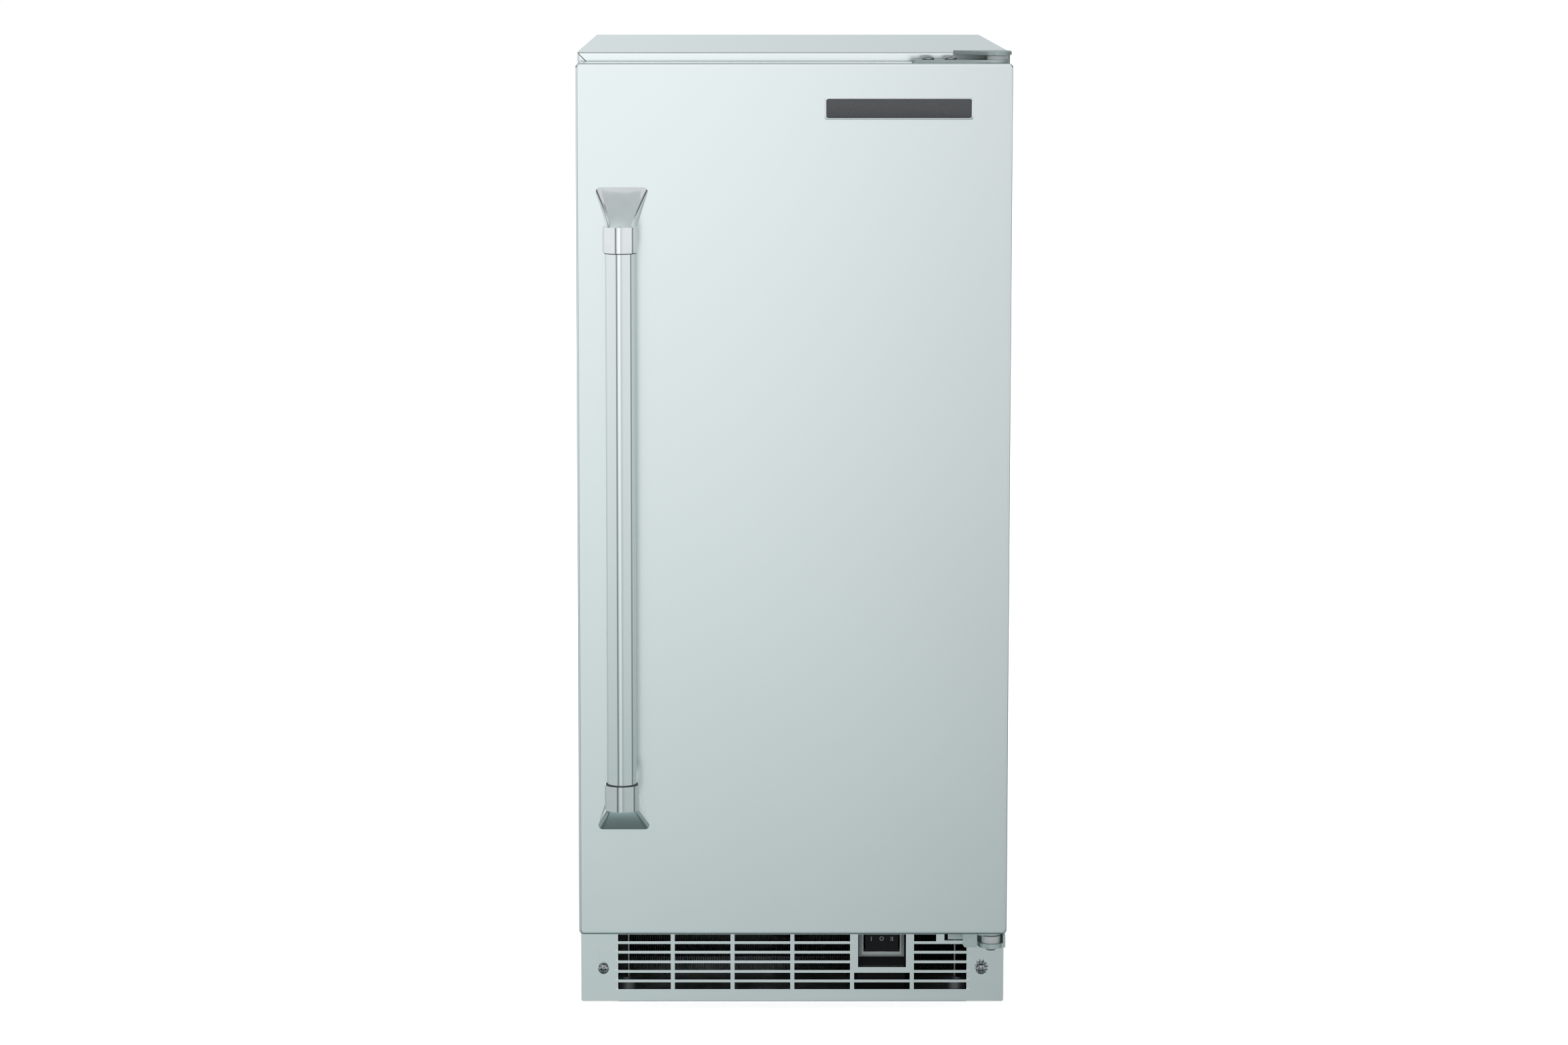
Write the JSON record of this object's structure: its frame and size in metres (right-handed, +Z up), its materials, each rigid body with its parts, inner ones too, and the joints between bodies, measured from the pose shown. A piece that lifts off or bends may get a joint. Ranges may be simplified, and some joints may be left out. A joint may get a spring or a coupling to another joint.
{
  "type": "outdoor ice maker",
  "caption": "Undercounter outdoor ice maker: stainless cabinet, hinged insulated door with tubular handle, louvred kick grille with switch, ice bin, freezing section and machine compartment.",
  "frame": {"origin": "middle of the cabinet base's footprint, on the floor", "axes": "+Z up, -Y towards the door side, +X to the right seen from the front"},
  "size_m": [0.378, 0.647, 0.8496],
  "materials": {
    "stainless": "satin brushed",
    "cast_chrome": "polished",
    "galvanised": "dull zinc",
    "hinge_steel": "dull",
    "white_liner": "satin",
    "foam": "matte",
    "seal": "matte",
    "black_plastic": "matte",
    "grey_plastic": "matte",
    "nylon": "satin",
    "zinc_screw": "bright",
    "copper": "drawn",
    "brass_fitting": "machined",
    "tin_copper": "tinned",
    "fin_aluminium": "mill",
    "black_steel": "semi gloss",
    "clear_plastic": "translucent",
    "rubber_foot": "matte"
  },
  "bodies": {
    "cabinet": {"base_pan": "galvanised", "left_side_panel": "stainless", "right_side_panel": "stainless", "top_panel": "stainless", "back_panel": "galvanised", "rear_service_panel": "galvanised", "lower_front_panel": "stainless", "bin_liner": "white_liner", "insulation": "foam", "compartment_deck": "galvanised", "cabinet_screws": "zinc_screw", "kick_grille": "stainless", "grille_screws": "zinc_screw", "control_box": "black_plastic", "switch_bezel": "grey_plastic", "upper_hinge_bracket": "hinge_steel", "lower_hinge_bracket": "hinge_steel", "lower_hinge_pin": "zinc_screw", "lower_thrust_washer": "nylon", "cheek_left": "white_liner", "cheek_right": "white_liner", "evaporator_plate": "tin_copper", "evaporator_coil": "copper", "ice_chute": "grey_plastic", "sump_tank": "white_liner", "spray_manifold": "grey_plastic", "water_pump": "black_plastic", "float_valve": "grey_plastic", "curtain_rod": "zinc_screw", "water_tube": "clear_plastic", "compressor": "black_steel", "compressor_feet": "rubber_foot", "condenser_core": "fin_aluminium", "condenser_plates": "galvanised", "fan_shroud": "galvanised", "fan_motor": "black_steel", "discharge_line": "copper", "liquid_line": "copper", "hot_gas_valve": "brass_fitting", "suction_line": "copper", "water_inlet_valve": "brass_fitting", "drain_line": "grey_plastic", "power_gland": "black_plastic"},
    "door": {"door_skin": "stainless", "door_core": "foam", "door_liner": "white_liner", "door_gasket": "seal", "handle_tube": "stainless", "handle_end_upper": "cast_chrome", "handle_end_lower": "cast_chrome", "upper_door_plate": "hinge_steel", "lower_door_plate": "hinge_steel", "upper_hinge_bush": "nylon", "lower_hinge_bush": "nylon", "door_plate_screws": "zinc_screw"},
    "rocker": {"switch_rocker": "black_plastic"},
    "fan": {"fan_blades": "fin_aluminium"},
    "curtain": {"ice_curtain": "clear_plastic"},
    "float": {"float_arm": "nylon"}
  },
  "joints": [
    {"name": "door_hinge", "type": "hinge", "parent": "cabinet", "child": "door", "pos_m": [0.176, -0.285, 0.45], "axis": [0, 0, 1], "range_deg": [0, 135]},
    {"name": "switch_rock", "type": "hinge", "parent": "cabinet", "child": "rocker", "pos_m": [0.08025, -0.24, 0.0546], "axis": [0, 0, 1], "range_deg": [-10, 10]},
    {"name": "fan_spin", "type": "hinge", "parent": "cabinet", "child": "fan", "pos_m": [0, -0.137, 0.09675], "axis": [0, 1, 0], "continuous": true},
    {"name": "curtain_swing", "type": "hinge", "parent": "cabinet", "child": "curtain", "pos_m": [0, -0.118, 0.775], "axis": [-1, 0, 0], "range_deg": [0, 35]},
    {"name": "float_swing", "type": "hinge", "parent": "cabinet", "child": "float", "pos_m": [-0.12, 0.044, 0.6721], "axis": [1, 0, 0], "range_deg": [0, 14]}
  ]
}
